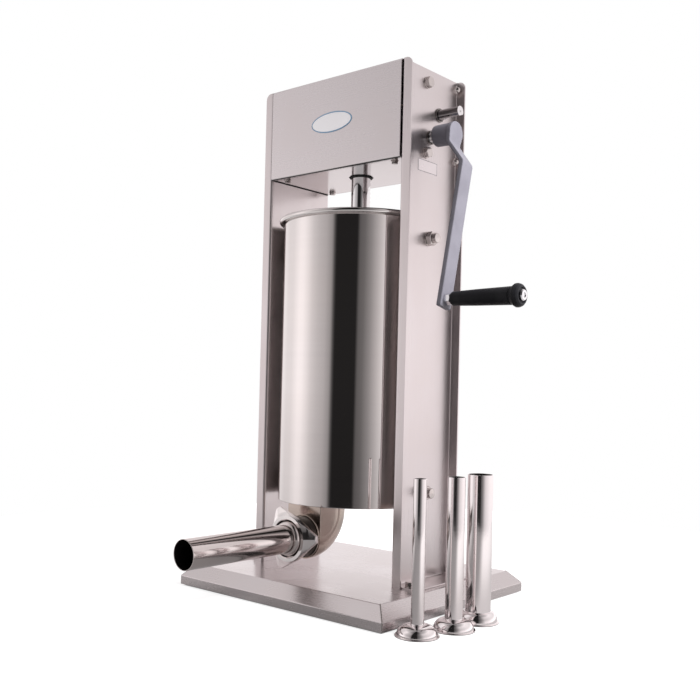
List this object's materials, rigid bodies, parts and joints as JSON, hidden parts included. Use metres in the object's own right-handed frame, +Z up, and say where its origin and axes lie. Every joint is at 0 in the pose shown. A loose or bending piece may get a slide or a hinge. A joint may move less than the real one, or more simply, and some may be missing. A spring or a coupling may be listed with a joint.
{
  "type": "sausage stuffer",
  "caption": "Vertical sausage stuffer: a rack-driven piston in an upright steel cylinder between channel posts, with a geared head, a removable crank, an elbow outlet and screw-on nozzles.",
  "frame": {"origin": "on the cylinder's axis, in the plane that the four feet stand on", "axes": "+Z up along the cylinder's axis, -Y to the front, where the outlet and its nozzle point, +X to the right, where the crank is"},
  "size_m": [0.489, 0.4738, 0.7265],
  "materials": {
    "sheet": "brushed",
    "polished": "mirror polished",
    "cast_steel": "satin cast stainless",
    "chrome": "polished",
    "fastener": "bright",
    "machine_steel": "machined",
    "spring_steel": "dark oiled",
    "crank_paint": "satin grey enamel",
    "bronze": "machined",
    "black_plastic": "semi gloss",
    "black_rubber": "matt",
    "white_silicone": "matt food grade"
  },
  "bodies": {
    "frame": {"base_tray": "sheet", "base_feet": "black_rubber", "foot_studs": "fastener", "left_post": "sheet", "right_post": "sheet", "base_bolts": "fastener", "base_washers": "fastener", "base_nuts": "fastener", "head_plate": "sheet", "head_bolts": "fastener", "head_nuts": "fastener", "head_brackets": "sheet", "top_channel": "sheet", "front_cover": "sheet", "rear_cover": "sheet", "cover_screws": "fastener", "cover_studs": "fastener", "cover_dome_nuts": "fastener", "side_bolts": "fastener", "side_washers": "fastener", "side_nuts": "fastener", "gear_plates": "machine_steel", "plate_screws": "fastener", "bearing_plate": "machine_steel", "shaft_bushes": "bronze", "rod_guides": "bronze", "rod_seal": "black_rubber", "support_pins": "fastener", "pin_washers": "fastener", "pin_nuts": "fastener", "cylinder_wall": "polished", "cylinder_floor": "polished", "cylinder_rim": "polished", "cylinder_hooks": "cast_steel", "elbow": "cast_steel", "threaded_spout": "cast_steel"},
    "slow_drive": {"slow_shaft": "chrome", "slow_pinion": "machine_steel", "slow_ring": "spring_steel"},
    "crank": {"crank_arm": "crank_paint", "grip_locknut": "fastener", "grip_spindle": "fastener"},
    "grip": {"grip": "black_plastic"},
    "fast_drive": {"fast_shaft": "chrome", "fast_gear": "machine_steel", "rack_pinion": "machine_steel", "fast_rings": "spring_steel"},
    "piston": {"piston_rod": "chrome", "piston_plate": "polished", "piston_gasket": "white_silicone", "piston_screw": "fastener", "valve_housing": "cast_steel", "valve_spring": "spring_steel"},
    "air_valve": {"valve_poppet": "cast_steel"},
    "nozzle": {"nozzle_tube": "polished"},
    "nozzle_nut": {"nozzle_nut": "polished"},
    "narrow_tube": {"spare_tube_narrow": "polished"},
    "middle_tube": {"spare_tube_middle": "polished"},
    "wide_tube": {"spare_tube_wide": "polished"}
  },
  "joints": [
    {"name": "crank_spin", "type": "hinge", "parent": "frame", "child": "slow_drive", "pos_m": [0, 0, 0.6348], "axis": [1, 0, 0], "range_deg": [0, 4508]},
    {"name": "crank_pull", "type": "slide", "parent": "slow_drive", "child": "crank", "axis": [1, 0, 0], "range_m": [0, 0.04]},
    {"name": "grip_spin", "type": "hinge", "parent": "crank", "child": "grip", "pos_m": [0.2, -0.05286, 0.40582], "axis": [1, 0, 0], "continuous": true},
    {"name": "fast_spin", "type": "hinge", "parent": "frame", "child": "fast_drive", "pos_m": [0, 0.019, 0.67], "axis": [1, 0, 0], "range_deg": [-1933, 0]},
    {"name": "piston_lift", "type": "slide", "parent": "frame", "child": "piston", "axis": [0, 0, 1], "range_m": [0, 0.4047]},
    {"name": "valve_close", "type": "slide", "parent": "piston", "child": "air_valve", "axis": [0, 0, 1], "range_m": [0, 0.0028], "stiffness_N_per_m": 300, "springref_m": -0.004, "deforming": ["valve_spring"]},
    {"name": "nozzle_out", "type": "slide", "parent": "frame", "child": "nozzle", "axis": [0, -1, 0], "range_m": [0, 0.0181]},
    {"name": "nut_unscrew", "type": "hinge", "parent": "nozzle", "child": "nozzle_nut", "pos_m": [0, -0.127, 0.087], "axis": [0, -1, 0], "range_deg": [0, 2160]},
    {"name": "narrow_tube_lift", "type": "slide", "parent": "frame", "child": "narrow_tube", "axis": [0, 0, 1], "range_m": [0, 0.15]},
    {"name": "middle_tube_lift", "type": "slide", "parent": "frame", "child": "middle_tube", "axis": [0, 0, 1], "range_m": [0, 0.15]},
    {"name": "wide_tube_lift", "type": "slide", "parent": "frame", "child": "wide_tube", "axis": [0, 0, 1], "range_m": [0, 0.15]}
  ],
  "couplings": [
    {"joint": "fast_spin", "follows": "crank_spin", "ratio": -0.42857},
    {"joint": "piston_lift", "follows": "crank_spin", "m_per_rad": 0.0051429},
    {"joint": "nozzle_out", "follows": "nut_unscrew", "m_per_rad": 0.00047746}
  ]
}
